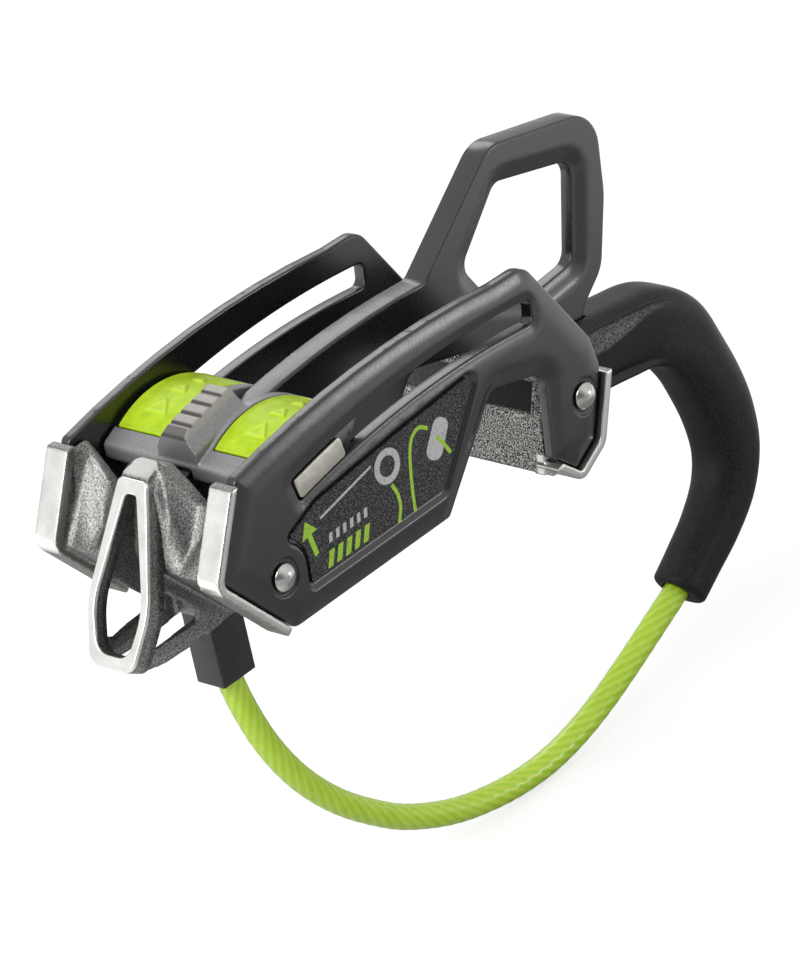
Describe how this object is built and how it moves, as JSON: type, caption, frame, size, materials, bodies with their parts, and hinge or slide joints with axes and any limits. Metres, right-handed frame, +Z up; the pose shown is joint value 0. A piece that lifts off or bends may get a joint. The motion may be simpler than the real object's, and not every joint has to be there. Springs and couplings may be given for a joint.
{
  "type": "assisted braking belay device",
  "caption": "Two-rope assisted braking belay device with arched side plates, cast inserts, a sliding mode selector, a guide eye, a hooked thumb handle and a coated wire cable.",
  "frame": {"origin": "centre of the device's bounding box", "axes": "+X from the nose to the thumb handle, +Y from the left plate to the right plate, +Z up from the cable to the guide eye"},
  "size_m": [0.136, 0.0384, 0.101],
  "materials": {
    "black_anodised": "satin black anodised",
    "cast_steel": "investment cast, rims polished",
    "rivet_steel": "polished dome",
    "label_film": "speckled dark print",
    "slider_metal": "satin grey anodised",
    "key_metal": "machined",
    "insert_plastic": "bright green, embossed",
    "spring_steel": "bright",
    "handle_plastic": "fine moulded texture",
    "ferrule_steel": "pressed",
    "cable_steel": "stranded wire",
    "sleeve_plastic": "bright green, slightly translucent"
  },
  "bodies": {
    "frame": {"side_plate_left": "black_anodised", "side_plate_right": "black_anodised", "label_left": "label_film", "label_right": "label_film", "centre_plate": "black_anodised", "front_insert": "cast_steel", "rear_insert": "cast_steel", "front_rivet": "rivet_steel", "rear_rivet": "rivet_steel", "thumb_handle": "handle_plastic", "cable_block": "handle_plastic", "front_ferrule": "ferrule_steel", "rear_ferrule": "ferrule_steel", "cable_core": "cable_steel", "cable_sleeve": "sleeve_plastic"},
    "slider": {"slider_body": "slider_metal", "slider_insert_left": "insert_plastic", "slider_insert_right": "insert_plastic", "slider_key_left": "key_metal", "slider_key_right": "key_metal", "detent_ball": "spring_steel", "detent_spring": "spring_steel"}
  },
  "joints": [
    {"name": "slider_track", "type": "hinge", "parent": "frame", "child": "slider", "pos_m": [-0.00942, 0, -0.11753], "axis": [0, 1, 0], "range_deg": [0, 14.2]}
  ]
}
